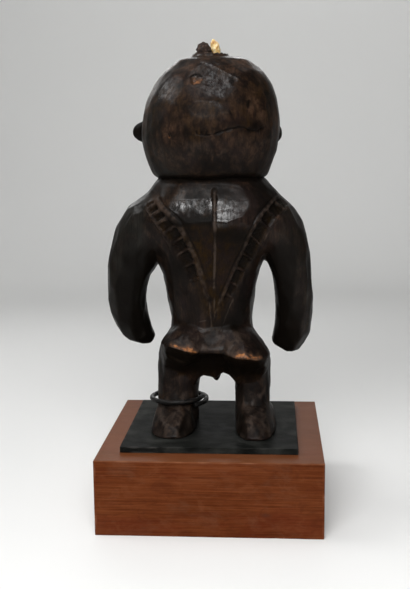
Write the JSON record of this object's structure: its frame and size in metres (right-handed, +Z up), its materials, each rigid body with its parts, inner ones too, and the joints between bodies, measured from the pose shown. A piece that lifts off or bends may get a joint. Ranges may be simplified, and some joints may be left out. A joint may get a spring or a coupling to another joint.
{
  "type": "carved monkey figure",
  "caption": "Carved dark wood monkey standing with arms at its sides, incised back, wire anklet and resin-filled crown, on a metal plate and a square wooden plinth.",
  "frame": {"origin": "centre of the plinth's underside", "axes": "+Z up, the figure faces -Y, +X is the figure's left"},
  "size_m": [0.19, 0.19, 0.4096],
  "materials": {
    "plinth": "satin, fine straight grain",
    "mount_plate": "matt black paint",
    "figure": "dark handled patina, glossy on the high facets",
    "anklet": "dark forged wire",
    "crown_fill": "dried crumbly resin",
    "crown_chip": "pale broken resin"
  },
  "bodies": {
    "root": {"plinth": "plinth", "mount_plate": "mount_plate", "figure": "figure", "anklet": "anklet", "crown_fill": "crown_fill", "crown_chip": "crown_chip"}
  },
  "joints": []
}
